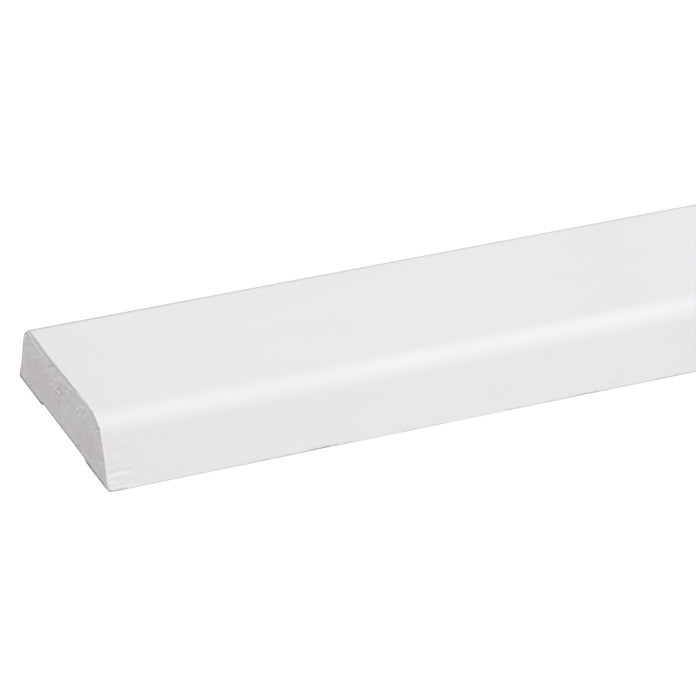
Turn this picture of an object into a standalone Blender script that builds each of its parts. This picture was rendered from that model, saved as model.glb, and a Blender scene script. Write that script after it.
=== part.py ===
"""A painted softwood cover strip: one length of flat moulding, lying on its back.

Its section is a low trapezoid. Both long sides lean inwards, the front top edge has a large
rounding and the rear top edge a smaller one. The back has a shallow relief cut into its middle,
which leaves two flat feet that bear on the wall. Both ends are cut square.

The strip runs along X, its front edge faces -Y and its back is at z = 0. The origin is at the
middle of the back. All sizes are in metres.
"""

from math import ceil, cos, pi, radians, sin, tan

import bmesh
import bpy
from mathutils import Vector

# Overall sizes: the width is across the back, where the section is widest.
LENGTH = 0.175
WIDTH = 0.058
THICKNESS = 0.015

# Lean of the two long sides, measured from upright.
FRONT_LEAN = radians(20.5)
REAR_LEAN = radians(18.0)

# Roundings along the long edges.
FRONT_ROUNDING = 0.006
REAR_ROUNDING = 0.005
BACK_ARRIS = 0.0003

# The relief in the back, between the two feet. Its steps slope, the front one more gently.
FRONT_FOOT = 0.0140
REAR_FOOT = 0.0150
RELIEF_DEPTH = 0.00065
FRONT_STEP = 0.0012
REAR_STEP = 0.0010

# Turn that one facet of a rounding makes, at most.
FACET_TURN = radians(4.0)

PAINT_COLOUR = (0.80, 0.80, 0.79, 1.0)
PAINT_ROUGHNESS = 0.38


def clear_scene():
    """Remove whatever the scene starts with."""
    for obj in list(bpy.data.objects):
        bpy.data.objects.remove(obj, do_unlink=True)


def corner_past_arris(lean):
    """How far a leaning side's sharp bottom corner would stand out past its rounded arris."""
    return BACK_ARRIS * (1.0 / tan((pi / 2 - lean) / 2) - 1.0)


def section_corners():
    """The section's corners as (point, rounding) in the Y-Z plane, round the section once."""
    front = -WIDTH / 2 - corner_past_arris(FRONT_LEAN)
    rear = WIDTH / 2 + corner_past_arris(REAR_LEAN)
    front_inset = THICKNESS * tan(FRONT_LEAN)
    rear_inset = THICKNESS * tan(REAR_LEAN)
    relief_front = -WIDTH / 2 + FRONT_FOOT
    relief_rear = WIDTH / 2 - REAR_FOOT
    return [
        (Vector((front, 0.0)), BACK_ARRIS),
        (Vector((relief_front, 0.0)), 0.0),
        (Vector((relief_front + FRONT_STEP, RELIEF_DEPTH)), 0.0),
        (Vector((relief_rear - REAR_STEP, RELIEF_DEPTH)), 0.0),
        (Vector((relief_rear, 0.0)), 0.0),
        (Vector((rear, 0.0)), BACK_ARRIS),
        (Vector((rear - rear_inset, THICKNESS)), REAR_ROUNDING),
        (Vector((front + front_inset, THICKNESS)), FRONT_ROUNDING),
    ]


def rounded_corner(before, corner, after, radius):
    """Points of the arc that rounds one corner, or the corner itself where it stays sharp."""
    if radius == 0.0:
        return [corner]
    to_before = (before - corner).normalized()
    to_after = (after - corner).normalized()
    half_angle = to_before.angle(to_after) / 2
    centre = corner + (to_before + to_after).normalized() * (radius / sin(half_angle))
    start = corner + to_before * (radius / tan(half_angle)) - centre
    turn = pi - 2 * half_angle
    steps = max(2, ceil(turn / FACET_TURN))
    points = []
    for step in range(steps + 1):
        angle = turn * step / steps
        turned = Vector((start.x * cos(angle) - start.y * sin(angle),
                         start.x * sin(angle) + start.y * cos(angle)))
        points.append(centre + turned)
    return points


def section_outline():
    """The whole section with its roundings, counterclockwise seen from +X."""
    corners = section_corners()
    count = len(corners)
    outline = []
    for index, (corner, radius) in enumerate(corners):
        before = corners[index - 1][0]
        after = corners[(index + 1) % count][0]
        outline += rounded_corner(before, corner, after, radius)
    return outline


def strip_mesh():
    """The section drawn at one end and extruded along X to the other."""
    bm = bmesh.new()
    ring = [bm.verts.new((-LENGTH / 2, point.x, point.y)) for point in section_outline()]
    near_end = bm.faces.new(ring)
    extruded = bmesh.ops.extrude_face_region(bm, geom=[near_end])
    far_ring = [item for item in extruded["geom"] if isinstance(item, bmesh.types.BMVert)]
    bmesh.ops.translate(bm, verts=far_ring, vec=(LENGTH, 0.0, 0.0))
    bmesh.ops.recalc_face_normals(bm, faces=bm.faces)
    mesh = bpy.data.meshes.new("cover_strip")
    bm.to_mesh(mesh)
    bm.free()
    return mesh


def white_paint():
    """Satin white paint over the timber."""
    paint = bpy.data.materials.new("white_paint")
    paint.use_nodes = True
    shader = paint.node_tree.nodes["Principled BSDF"]
    shader.inputs["Base Color"].default_value = PAINT_COLOUR
    shader.inputs["Roughness"].default_value = PAINT_ROUGHNESS
    shader.inputs["Metallic"].default_value = 0.0
    paint.diffuse_color = PAINT_COLOUR
    return paint


def make_cover_strip():
    """The strip as one solid, smooth over its roundings and sharp at its edges."""
    mesh = strip_mesh()
    mesh.materials.append(white_paint())
    mesh.shade_smooth()
    mesh.set_sharp_from_angle(angle=radians(15.0))
    strip = bpy.data.objects.new("cover_strip", mesh)
    bpy.context.scene.collection.objects.link(strip)
    return strip


def main():
    clear_scene()
    make_cover_strip()


main()
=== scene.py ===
# %% [markdown]
# # A painted timber cover strip
# A cover strip is a flat softwood moulding that hides the gap between a frame and a wall. This one
# lies on its back. Both long sides of its section lean inwards, the top edge in front has a large
# rounding, and a shallow relief in the back leaves only two feet to touch the wall.
#
# The solid model is already made and holds the true sizes. This lesson makes what it leaves out:
# the paint, the rough cut ends, the softened edges and the small damage. It works in the solid's
# frame: X runs along the strip, Y from its front edge to its rear edge, and Z up out of the table.

import math

import bmesh
import bpy
import numpy as np
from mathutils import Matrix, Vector, noise


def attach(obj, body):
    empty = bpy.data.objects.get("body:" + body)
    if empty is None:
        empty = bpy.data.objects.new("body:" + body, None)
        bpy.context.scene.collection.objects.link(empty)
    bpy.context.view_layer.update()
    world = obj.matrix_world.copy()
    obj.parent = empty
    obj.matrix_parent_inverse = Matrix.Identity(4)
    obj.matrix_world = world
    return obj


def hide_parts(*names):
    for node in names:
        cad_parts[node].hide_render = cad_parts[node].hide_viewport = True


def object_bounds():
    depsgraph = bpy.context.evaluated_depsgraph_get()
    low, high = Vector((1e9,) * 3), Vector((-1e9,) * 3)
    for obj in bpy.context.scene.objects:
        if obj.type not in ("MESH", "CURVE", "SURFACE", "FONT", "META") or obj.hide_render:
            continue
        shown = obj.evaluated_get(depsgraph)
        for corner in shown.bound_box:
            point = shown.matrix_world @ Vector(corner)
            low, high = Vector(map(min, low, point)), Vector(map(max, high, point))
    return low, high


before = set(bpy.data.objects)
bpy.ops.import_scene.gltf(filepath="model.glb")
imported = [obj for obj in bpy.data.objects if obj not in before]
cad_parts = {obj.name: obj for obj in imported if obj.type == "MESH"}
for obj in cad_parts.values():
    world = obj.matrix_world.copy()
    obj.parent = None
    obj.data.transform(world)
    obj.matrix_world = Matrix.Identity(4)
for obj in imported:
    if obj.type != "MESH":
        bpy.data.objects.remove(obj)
cad_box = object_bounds()
MM = 0.001
LENGTH, WIDTH, THICKNESS = cad_box[1] - cad_box[0]
print(*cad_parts, f"{LENGTH / MM:.1f} x {WIDTH / MM:.1f} x {THICKNESS / MM:.1f} mm")

# %% [markdown]
# ## Stand the camera where the photographer stood
# The strip's long edges hardly draw together in the picture, so the lens is long and far away.
# The camera is placed as a photographer would do it: pick a point to aim at, then step back from
# it by an azimuth, a height above the horizon and a distance. That is easier to correct later than
# a bare position, because each number changes one thing in the picture.

# %% Camera
VIEW_AZIMUTH = math.radians(-23.29)
VIEW_ELEVATION = math.radians(27.15)
VIEW_DISTANCE = 0.8371
AIM_POINT = Vector((-0.02579, -0.01398, THICKNESS))
LENS = 198.2
FILM_WIDTH = 36.0
FARTHEST_SEEN = 50.0


def place_facing(data, place, direction):
    """Puts a camera or a lamp somewhere, looking along a direction."""
    obj = bpy.data.objects.new(data.name, data)
    obj.location = place
    obj.rotation_mode = "QUATERNION"
    obj.rotation_quaternion = direction.to_track_quat("-Z", "Y")
    bpy.context.scene.collection.objects.link(obj)
    return obj


def add_camera():
    """The picture's camera, with a long lens. At azimuth 0 it would stand in front of the strip."""
    flat = math.cos(VIEW_ELEVATION)
    towards_camera = Vector((math.sin(VIEW_AZIMUTH) * flat, -math.cos(VIEW_AZIMUTH) * flat,
                             math.sin(VIEW_ELEVATION)))
    data = bpy.data.cameras.new("photo_camera")
    data.lens = LENS
    data.sensor_width = FILM_WIDTH
    data.clip_end = FARTHEST_SEEN
    camera = place_facing(data, AIM_POINT + towards_camera * VIEW_DISTANCE, -towards_camera)
    bpy.context.scene.camera = camera
    return camera


camera = add_camera()
print(f"camera stands at {[round(value, 3) for value in camera.location]} m")

# %% [markdown]
# ## A short way to write nodes
# The table, the sky and the paints are made of nodes. A few helpers save lines: they fill a node's
# inputs with values or with the outputs of other nodes.

# %% Nodes
WHITE = (1.0, 1.0, 1.0, 1.0)


def feed(tree, socket, value):
    """Gives an input a link to another node's output, or a plain value."""
    if isinstance(value, bpy.types.NodeSocket):
        tree.links.new(value, socket)
    else:
        socket.default_value = value


def fill(tree, node, **inputs):
    """Feeds a node's inputs by their names."""
    for name, value in inputs.items():
        feed(tree, node.inputs[name.replace("_", " ")], value)


def add_node(tree, kind, **inputs):
    """A new node with its inputs filled."""
    node = tree.nodes.new(kind)
    fill(tree, node, **inputs)
    return node


print("inputs take values or links, and white is", WHITE[:3])

# %% [markdown]
# ## A white table and soft light
# White paint shows its form only by soft shading, so the light matters more than the colour. A
# photographer puts such a strip on a light table, which glows and takes the shadow away. So the
# table here glows too, and it lights the leaning sides and the cut end from below.
#
# One very wide lamp hangs high, a little to the front and to the right. Its width makes the streak
# on the large rounding soft, and the cut end, which faces left, gets none of it. A weak lamp low in
# front lifts the front side, and the sky gives the rest. The sky is plain white only where the
# camera looks straight at it, past the table.

# %% Table, sky and lamps
TABLE_SIZE = 30.0
TABLE_COLOUR = (0.12, 0.12, 0.12, 1.0)
TABLE_ROUGHNESS = 0.9
TABLE_GLOW = 0.93
SKY_BRIGHTNESS = 0.515


def add_table():
    """A wide white sheet under the strip that glows like a light table."""
    bpy.ops.mesh.primitive_plane_add(size=TABLE_SIZE)
    table = bpy.context.object
    table.name = "table"
    paper = bpy.data.materials.new("table_paper")
    paper.use_nodes = True
    fill(paper.node_tree, paper.node_tree.nodes["Principled BSDF"], Base_Color=TABLE_COLOUR,
         Roughness=TABLE_ROUGHNESS, Specular_IOR_Level=0.0, Emission_Color=WHITE,
         Emission_Strength=TABLE_GLOW)
    table.data.materials.append(paper)


def add_sky():
    """Dim light from all round, and plain white where the camera looks past the table."""
    world = bpy.data.worlds.new("studio")
    world.use_nodes = True
    tree = world.node_tree
    dim = tree.nodes["Background"]
    fill(tree, dim, Color=WHITE, Strength=SKY_BRIGHTNESS)
    white = add_node(tree, "ShaderNodeBackground", Color=WHITE)
    seen_directly = add_node(tree, "ShaderNodeLightPath").outputs["Is Camera Ray"]
    choose = add_node(tree, "ShaderNodeMixShader", Fac=seen_directly)
    feed(tree, choose.inputs[1], dim.outputs["Background"])
    feed(tree, choose.inputs[2], white.outputs["Background"])
    fill(tree, tree.nodes["World Output"], Surface=choose.outputs["Shader"])
    bpy.context.scene.world = world


def add_lamp(name, direction, distance, size, power):
    """A round soft lamp that shines at the strip from a direction."""
    direction = Vector(direction).normalized()
    data = bpy.data.lights.new(name, "AREA")
    data.shape = "DISK"
    data.size = size
    data.energy = power
    place_facing(data, direction * distance, -direction)


add_table()
add_sky()
add_lamp("wide_lamp", direction=(0.35, -0.20, 0.90), distance=3.0, size=3.0, power=64.0)
add_lamp("front_lamp", direction=(0.35, -0.80, 0.45), distance=3.0, size=1.6, power=3.0)
bpy.context.scene.view_settings.view_transform = "Standard"

# %% [markdown]
# ## Draw the section
# A planing machine gives the strip its section, so the section is drawn first and everything
# else follows it. A bevel modifier would round all the corners alike. Here each corner has its
# own radius, so each arc is worked out from its corner. The sizes are those of the solid.

# %% Section
FRONT_LEAN = math.radians(20.5)
REAR_LEAN = math.radians(18.0)
FRONT_ROUNDING = 6.0 * MM
REAR_ROUNDING = 5.0 * MM
BACK_ARRIS = 0.3 * MM
FRONT_FOOT = 14.0 * MM
REAR_FOOT = 15.0 * MM
RELIEF_DEPTH = 0.65 * MM
FRONT_STEP = 1.2 * MM
REAR_STEP = 1.0 * MM
ARC_POINTS = 61


def unit(vector):
    """The same direction, one long."""
    return vector / np.linalg.norm(vector)


def rounded(before, corner, after, radius):
    """The arc that rounds a corner between the corners before and after it."""
    back = unit(before - corner)
    ahead = unit(after - corner)
    half_angle = math.acos(back @ ahead) / 2
    centre = corner + unit(back + ahead) * radius / math.sin(half_angle)
    start = corner + back * radius / math.tan(half_angle) - centre
    turn = np.linspace(0.0, math.pi - 2 * half_angle, ARC_POINTS)
    across = centre[0] + start[0] * np.cos(turn) - start[1] * np.sin(turn)
    up = centre[1] + start[0] * np.sin(turn) + start[1] * np.cos(turn)
    return np.column_stack([across, up])


def arris_reach(lean):
    """How far a leaning side's sharp bottom corner would stand out past its rounded arris."""
    return BACK_ARRIS * (1.0 / math.tan((math.pi / 2 - lean) / 2) - 1.0)


def section_sides():
    """The section as four lines, back, rear side, face and front side, cut mid-rounding."""
    front = -WIDTH / 2 - arris_reach(FRONT_LEAN)
    rear = WIDTH / 2 + arris_reach(REAR_LEAN)
    rear_top = rear - THICKNESS * math.tan(REAR_LEAN)
    front_top = front + THICKNESS * math.tan(FRONT_LEAN)
    corners = np.array([(front, 0.0), (rear, 0.0), (rear_top, THICKNESS), (front_top, THICKNESS)])
    radii = (BACK_ARRIS, BACK_ARRIS, REAR_ROUNDING, FRONT_ROUNDING)
    before = np.roll(corners, 1, axis=0)
    after = np.roll(corners, -1, axis=0)
    arcs = [rounded(*around) for around in zip(before, corners, after, radii)]
    middle = ARC_POINTS // 2
    lines = [[arc[middle:], ahead[:middle + 1]] for arc, ahead in zip(arcs, arcs[1:] + arcs[:1])]
    lines[0].insert(1, [
        (-WIDTH / 2 + FRONT_FOOT, 0.0),
        (-WIDTH / 2 + FRONT_FOOT + FRONT_STEP, RELIEF_DEPTH),
        (WIDTH / 2 - REAR_FOOT - REAR_STEP, RELIEF_DEPTH),
        (WIDTH / 2 - REAR_FOOT, 0.0),
    ])
    return [np.vstack(line) for line in lines]


sides = section_sides()
print("section reaches", [round(float(v) / MM, 2) for v in np.vstack(sides).max(axis=0)], "mm")

# %% [markdown]
# ## Spread points along the section
# Fine damage needs a fine mesh, but a flat run needs fewer points than an arc. So each side gets
# a fixed number of points, spread by length plus turn: where the line bends, they close up.
# Opposite sides get the same number, so that the cut ends can later be filled with neat rows.

# %% Points round the section
ACROSS = 240
UP = 64
TURN_WORTH = 3.0 * MM
FINE_STEP = 0.05 * MM


def running_total(steps):
    """The sum of the steps so far, from 0 on."""
    return np.concatenate([[0], np.cumsum(steps)])


def evenly(line, travelled, count):
    """Points of a line that divide the way travelled evenly."""
    wanted = np.linspace(0.0, travelled[-1], count)
    return np.column_stack([np.interp(wanted, travelled, line[:, axis]) for axis in (0, 1)])


def spread(line, count):
    """count + 1 points along a line, closer together where it turns."""
    travelled = running_total(np.hypot(*np.diff(line, axis=0).T))
    line = evenly(line, travelled, int(travelled[-1] / FINE_STEP))
    steps = np.diff(line, axis=0)
    heading = np.unwrap(np.arctan2(steps[:, 1], steps[:, 0]))
    turn = np.abs(np.gradient(heading))
    return evenly(line, running_total(np.hypot(*steps.T) + TURN_WORTH * turn), count + 1)


def outward(ring):
    """The direction straight out of the ring at each of its points."""
    along = np.roll(ring, -1, axis=0) - np.roll(ring, 1, axis=0)
    out = np.column_stack([along[:, 1], -along[:, 0]])
    return out / np.linalg.norm(out, axis=1)[:, None]


counts = (ACROSS, UP, ACROSS, UP)
ring = np.vstack([spread(side, count)[:-1] for side, count in zip(sides, counts)])
ring_out = outward(ring)
print(f"{len(ring)} points round the section")

# %% [markdown]
# ## Smooth random shapes
# Wood, saws and brushes never repeat, so many of the shapes below use noise: a random number for
# each place that changes smoothly from place to place. Its sizes say how far apart its hills are
# along each axis, and its seed picks a pattern, so that every run gives the same one.
#
# The other helper is a bump: 1 at its middle and falling softly to 0 over its width. Most shapes
# below are such bumps, set round a point, along a line or at some distance from an edge.

# %% Noise and bumps
SEED_STEP = 17.3
SEED_LEVEL = 5.1


def wander(places, sizes, seed):
    """Smooth noise at each place, roughly between -1 and 1. Its sizes are in millimetres."""
    moved = places / (np.array(sizes) * MM) + seed * SEED_STEP
    if moved.shape[1] == 2:
        moved = np.column_stack([moved, np.full(len(moved), seed * SEED_LEVEL)])
    return np.array([noise.noise(Vector(place)) for place in moved])


def bump(distance, width):
    """1 where the distance is 0, and softly down to nothing past the width."""
    return np.exp(-(distance / width) ** 2)


def blobs(section, places):
    """Soft round bumps at (across, up, height, reach) places in millimetres, added up in metres."""
    total = np.zeros(len(section))
    for across, up, height, reach in places:
        off = np.hypot(*(section - np.array([across, up]) * MM).T)
        total += height * MM * bump(off, reach * MM)
    return total


def ease(value, low, high):
    """0 below low, 1 above high, and a soft step between."""
    part = np.clip((value - low) / (high - low), 0.0, 1.0)
    return part * part * (3.0 - 2.0 * part)


def line_distance(places, line):
    """The distance from each place to a line through a few points."""
    best = np.full(len(places), np.inf)
    for start, end in zip(line[:-1], line[1:]):
        along = end - start
        part = np.clip((places - start) @ along / (along @ along), 0.0, 1.0)
        best = np.minimum(best, np.linalg.norm(places - start - part[:, None] * along, axis=1))
    return best


print("noise at the front foot:", wander(ring[:1], (5, 5), 1).round(3))

# %% [markdown]
# ## The path of the saw
# A circular saw cut the strip to length, not quite square: the top edge stands a little further in
# than the feet. Where the blade came out, at the top, it wandered a tenth of a millimetre from side
# to side. At the near end that was read off the top edge, as a short list of places and depths.
# Thick paint makes the end bulge in a few places, most of all beside the front foot. The far end
# gets noise of the same kind.

# %% Saw cut
LEFT_SEED = 1
RIGHT_SEED = 2
CUT_DEPTH = 0.31 * MM
CUT_LEAN = 0.13 * MM
STEADY_HEIGHT = 3.0 * MM
FREE_HEIGHT = 12.0 * MM
LEFT_WANDER = np.array([
    (-29, -0.04), (-26, -0.08), (-22, -0.13), (-19, -0.02), (-15, 0), (-13, -0.09), (-11, 0),
    (-7, 0.09), (-4, 0.05), (-2, 0.09), (0, 0), (2, -0.09), (4, -0.03), (8, -0.12), (12, -0.04),
    (16, 0.05), (20, 0.12), (22, 0.13), (24, -0.02), (26, -0.1), (29, -0.1),
]) * MM
FAR_WANDER = 0.12 * MM
FAR_WAVE = (8, 40)
SWELLINGS = [(-28, 2.7, 0.24, 2.1), (28.6, 1.4, 0.14, 1.2), (24.6, 13, 0.12, 0.9),
             (-23.9, 13, -0.16, 0.7), (-12.6, 15, 0.14, 0.8), (-14.4, 15, 0.1, 0.8)]


def saw_cut(section, seed):
    """How far the plain cut lies inside the square end at each (across, up) place."""
    if seed == LEFT_SEED:
        path = np.interp(section[:, 0], *LEFT_WANDER.T)
        bulge = blobs(section, SWELLINGS)
    else:
        path = FAR_WANDER * wander(section, FAR_WAVE, seed)
        bulge = 0.0
    path = path * ease(section[:, 1], STEADY_HEIGHT, FREE_HEIGHT)
    return CUT_DEPTH + CUT_LEAN * section[:, 1] / THICKNESS + path - bulge


depths = saw_cut(ring, LEFT_SEED)
print(f"near cut runs {depths.min() / MM:.2f} to {depths.max() / MM:.2f} mm inside the square end")

# %% [markdown]
# ## What shows in painted end grain
# Across the grain a board shows the tree's growth rings, arcs round the heart of the tree, which
# lay below this board. The late wood of each year is hard, so it stands a little proud under the
# paint. Thin rays cross the rings. The arcs are found from their distance to the heart: that is
# simpler than drawing curves, and the same heart serves both ends of the one board.

# %% Growth rings and rays
HEART = np.array([12.6, -7.8]) * MM
YEAR = 2.0 * MM
FIRST_RING = 20.2 * MM
RING_WIDTH = 0.35 * MM
RING_WOBBLE = 0.5 * MM


def late_wood(section, seed):
    """1 on the hard late wood of each year, 0 between."""
    radius = np.hypot(*(section - HEART).T) + RING_WOBBLE * wander(section, (7, 7), seed)
    off_ring = (radius - FIRST_RING + YEAR / 2) % YEAR - YEAR / 2
    return bump(off_ring, RING_WIDTH)


def ray_flecks(section, seed):
    """Long strokes across the rings, between -1 and 1."""
    offset = section - HEART
    strokes = np.column_stack([np.hypot(*offset.T), np.arctan2(*offset.T[::-1]) * FIRST_RING])
    return wander(strokes, (4.0, 0.8), seed + 3)


print("late wood on", int((late_wood(ring, LEFT_SEED) > 0.5).sum()), "points of the section's edge")

# %% [markdown]
# ## Ridges, runs and crumbs in the paint
# The paint on the end is uneven. It stands in ridges along the upper edge and round a small knot,
# and it runs over the hardest growth ring. Sawing also tore some fibres, and the paint bridged
# them: those places are full of white crumbs and dark holes. Their pale and dark are partly paint
# and bare wood, and partly painted highlight and painted shade.
#
# A viewer knows these marks, so those of the near end are listed one by one. Each row is a line
# through a few places, across and up in millimetres, and ends with a width and a tone: above 0 the
# paint is thick and pale, below 0 it is thin and dark. Crumbs and holes are single places.

# %% Marks on the near end
# Pale tones are partly thick paint and partly painted highlight; dark tones partly thin paint and partly
# painted shade.
RIDGES = [
    (24.2, 13, 24, 12.2, 0.34, 0.8), (22.9, 14, 22.6, 14.1, 0.25, 0.5), (22.3, 14.1, 20.6, 14.2, 0.45, 0.3),
    (21.3, 12.4, 21.2, 11.9, 0.35, 0.18),
    (21.5, 14, 18.9, 13.5, 16.4, 13.6, 14, 13.2, 11.6, 13.5, 0.52, 0.38),
    (16.7, 13.4, 16.1, 13.4, 0.35, 0.28), (14.7, 13.1, 14, 13.3, 0.3, 0.35),
    (11.6, 13.4, 9.7, 13.3, 7.6, 13.4, 0.45, 0.24), (-9.5, 14.2, -11.1, 14.4, 0.4, 0.3),
    (24, 9.7, 21.4, 10.9, 19.9, 11.5, 17.8, 11.9, 0.24, 0.2),
    (19.2, 9.5, 17.2, 10.6, 15.5, 11.5, 12.9, 12, 0.3, 0.14), (11.6, 9, 10, 11, 9.4, 11.4, 0.22, 0.25),
    (26.4, 6.4, 26, 6.7, 0.3, 0.3), (26.5, 4.8, 26.1, 5.2, 24.6, 4.4, 23.3, 2.8, 0.25, 0.2),
    (20.4, 7.7, 20.4, 6.3, 0.4, 0.1), (18, 6.3, 16.4, 7.4, 0.2, 0.14),
    (7.8, 12.3, 6.4, 13.1, 5.3, 13.6, 0.2, 0.5), (5, 12.8, 4.4, 13, 0.4, 0.25),
    (5.5, 10.9, 4.7, 11.1, 3.9, 11.4, 0.3, 0.32), (8.5, 11.1, 6.5, 11.6, 0.5, 0.16),
    (2.5, 12.4, 0.7, 13, -2.7, 13.4, -6.6, 13.8, 0.4, 0.27), (-2.2, 7.3, -2.6, 8, 0.45, 0.28),
    (-4.3, 9.1, -6.6, 9.8, 0.22, 0.15), (-7, 10.5, -7.9, 10.9, 0.25, 0.25),
    (-10.5, 11.7, -12.6, 12.9, -15.2, 13.9, 0.26, 0.34), (-16.2, 13.8, -16.9, 13.9, 0.45, 0.34),
    (-8.9, 10.5, -9.9, 10.9, 0.2, 0.45), (-10.2, 9.9, -12, 10.5, 0.2, 0.35),
    (-10.9, 8, -11.9, 8.4, 0.25, 0.18), (-17.1, 10.1, -19.1, 11, 0.19, 0.75),
    (-18.2, 11.2, -19, 11.6, 0.18, 0.6), (-21.2, 11.9, -21.9, 11.9, 0.24, 0.55),
    (-22.5, 11.8, -23.3, 12.3, 0.2, 0.8), (-20, 10.4, -20, 9.4, 0.3, 0.42),
    (-20.2, 8.3, -20.3, 7.7, 0.3, 0.2), (-12.8, 6.3, -14.2, 6.9, 0.2, 0.2),
    (-13.7, 4.8, -14.8, 5.3, 0.22, 0.18), (-18, 2.4, -20.2, 3.2, -24.5, 4.9, -26, 6, 0.25, 0.2),
    (-26.3, 8, -27.1, 5, 0.3, 0.4),
]
GROOVES = [
    (25.2, 12.1, 24.9, 12.6, 0.35, -0.3), (23.1, 12.8, 22.5, 12.7, 20.9, 13, 0.26, -0.2),
    (23.9, 13.5, 23.7, 13.5, 0.3, -0.35), (23.6, 11.4, 23.5, 10.8, 0.4, -0.12),
    (22.7, 10.9, 21, 11.5, 17.9, 12.4, 16.1, 12.2, 14.5, 12.2, 0.26, -0.19),
    (19.9, 14.5, 19.5, 14.5, 0.3, -0.18), (17.9, 14.7, 17.4, 14.7, 0.35, -0.24),
    (16.4, 14.3, 16, 14.3, 0.35, -0.28), (14.6, 14.1, 13.6, 14.2, 0.38, -0.22),
    (11.2, 14.2, 10.6, 14.3, 0.3, -0.24), (8.2, 14.1, 7.8, 14.2, 0.3, -0.22),
    (18.4, 9.2, 17, 10, 15.2, 10.9, 0.4, -0.11), (21.6, 7.4, 21.4, 6, 0.45, -0.07),
    (16.1, 9.4, 16, 8.4, 0.45, -0.09), (17.2, 6.8, 16.5, 7.2, 0.24, -0.2),
    (16.7, 4.5, 16.1, 4.6, 0.35, -0.12), (8.7, 12.2, 7, 13.1, 5.2, 14.1, 0.18, -0.36),
    (4.1, 14.2, 3.4, 14.2, 0.4, -0.16), (2.7, 9.5, 1.5, 10.2, 0.16, -0.55), (3.7, 8, 1.8, 8.3, 0.22, -0.25),
    (2.7, 6.4, 1.4, 6.5, 0.28, -0.35), (-2, 8.2, -2.9, 8.7, 0.2, -0.18),
    (-3, 9.5, -4.6, 9.9, -6.6, 10.2, 0.3, -0.15), (-6.9, 9.8, -8, 10.2, 0.24, -0.14),
    (-1.9, 12, -3.1, 12.2, 0.18, -0.45), (-5.1, 12.6, -5.6, 12.7, 0.24, -0.3),
    (-4.3, 14.6, -5.2, 14.7, 0.28, -0.22), (-6.1, 12.6, -9.3, 13.4, -11.9, 14, 0.28, -0.11),
    (-12.7, 11, -13.7, 11.9, -14.9, 13, 0.38, -0.15), (-9.1, 9.9, -10.7, 10.7, 0.2, -0.25),
    (-8.8, 9, -9.7, 9.3, 0.2, -0.24), (-11.3, 8.5, -13.6, 9.2, 0.26, -0.14),
    (-17.8, 10.6, -19, 11.3, 0.15, -0.6), (-17.6, 10, -18.6, 10.3, 0.18, -0.45),
    (-20, 11.3, -20.7, 11.3, 0.35, -0.32), (-22.7, 12.2, -23.9, 13, 0.17, -0.45),
    (-22.7, 11.3, -23.2, 11.6, 0.18, -0.45), (-21.6, 12.8, -22.3, 12.8, 0.28, -0.25),
    (-19.2, 9.7, -19.1, 7.2, 0.25, -0.14), (-24, 6, -25.8, 6.4, 0.28, -0.15),
    (-11.1, 5.6, -12.1, 5.9, 0.2, -0.16), (-14.9, 5.6, -16.8, 6.2, 0.22, -0.24),
    (-9.5, 1.8, -10.9, 2.4, 0.26, -0.34),
]
TORN_PATCHES = [
    (10.7, 10.3, 9.7, 9.6, 0.8, 0.7), (6, 8.6, 2.6, 8.9, 0, 9.6, 0.9, 1),
    (5.7, 5.8, 2.9, 7.4, 1.1, 7, 0.9, 1), (-2.1, 11.8, -5.3, 12.2, 0.6, 0.7),
    (-8.9, 9.4, -11.1, 10.4, 0.9, 0.8), (-17, 10.3, -19.1, 11.1, 0.6, 1),
    (-21.3, 12.2, -23.4, 12.1, 0.6, 1), (-11.5, 5.6, -16, 5.9, 0.7, 0.6), (-3.7, 2.9, -6.1, 3.8, 0.6, 0.5),
    (26.5, 2.1, 14.2, 1.4, 1.5, 2, 0.5, 0.6), (-10.7, 2.2, -20.8, 1.4, 0.6, 0.6),
    (18, 5.3, 16, 5.1, 0.8, 0.4), (0.5, 5.1, -0.3, 6, 0.5, 0.6),
]
CRUMBS = np.array([
    (8, 9.2), (7.2, 8.7), (5.9, 8.7), (5.3, 8.8), (4.2, 8.8), (3.4, 9), (2, 9.7), (1.4, 8.8), (6.9, 5.7),
    (4, 7.3), (2.1, 7.1), (-0.2, 6.1), (0.7, 5.1), (-2.1, 11.5), (-2.9, 11.6), (-5.1, 11.8), (-4.8, 3.2),
    (-15.9, 2.2), (-18.3, 1.6), (-20.9, 1.6), (-24.2, 8.7), (-25.9, 9.1), (12.3, 9.1), (26.6, 2.1),
])
HOLES = np.array([
    (11.6, 10.2), (10.7, 10.1), (11.1, 9.3), (10.2, 9.7), (5.1, 9.2), (3.8, 9.3), (2.9, 9.4), (1.9, 10.2),
    (0.5, 9.4), (3.8, 8), (2.3, 8.1), (4.1, 6.2), (2.6, 6.3), (6.9, 4.9), (0.4, 5.7), (20.8, 1.8),
    (-16.7, 10), (-24.4, 9.7), (9.7, 4),
])
CRUMB_SIZE = (0.38 * MM, 0.23 * MM)
FAR_RIDGE_TONE = 0.28
FAR_CRUMBS = 1.1
FAR_TORN = 0.5


def marks(places, lines):
    """The tones of a list of lines, added up at each place."""
    total = np.zeros(len(places))
    for *line, width, tone in lines:
        line = np.reshape(line, (-1, 2)) * MM
        total += tone * bump(line_distance(places, line), width * MM)
    return total


def spots(places, middles):
    """1 at each of the given middles in millimetres, soft and a little ragged."""
    nearest = np.min([np.hypot(*((places - middle * MM) / CRUMB_SIZE).T) for middle in middles], axis=0)
    return bump(nearest * (1.0 + 0.5 * wander(places, (0.5, 0.5), 12)), 1.0)


def far_end_marks(section):
    """The far end's, plainer: its ridges run where a slow noise passes through 0."""
    ridges = bump(wander(section, (11, 5), 41), 0.05)
    ridges *= ease(wander(section, (6, 4), 44), -0.1, 0.3)
    rough = wander(section, (0.9, 0.6), 42)
    torn = ease(wander(section, (6, 4), 43), 0.25, 0.60)
    return FAR_RIDGE_TONE * ridges, FAR_CRUMBS * rough * torn, FAR_TORN * torn


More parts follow.
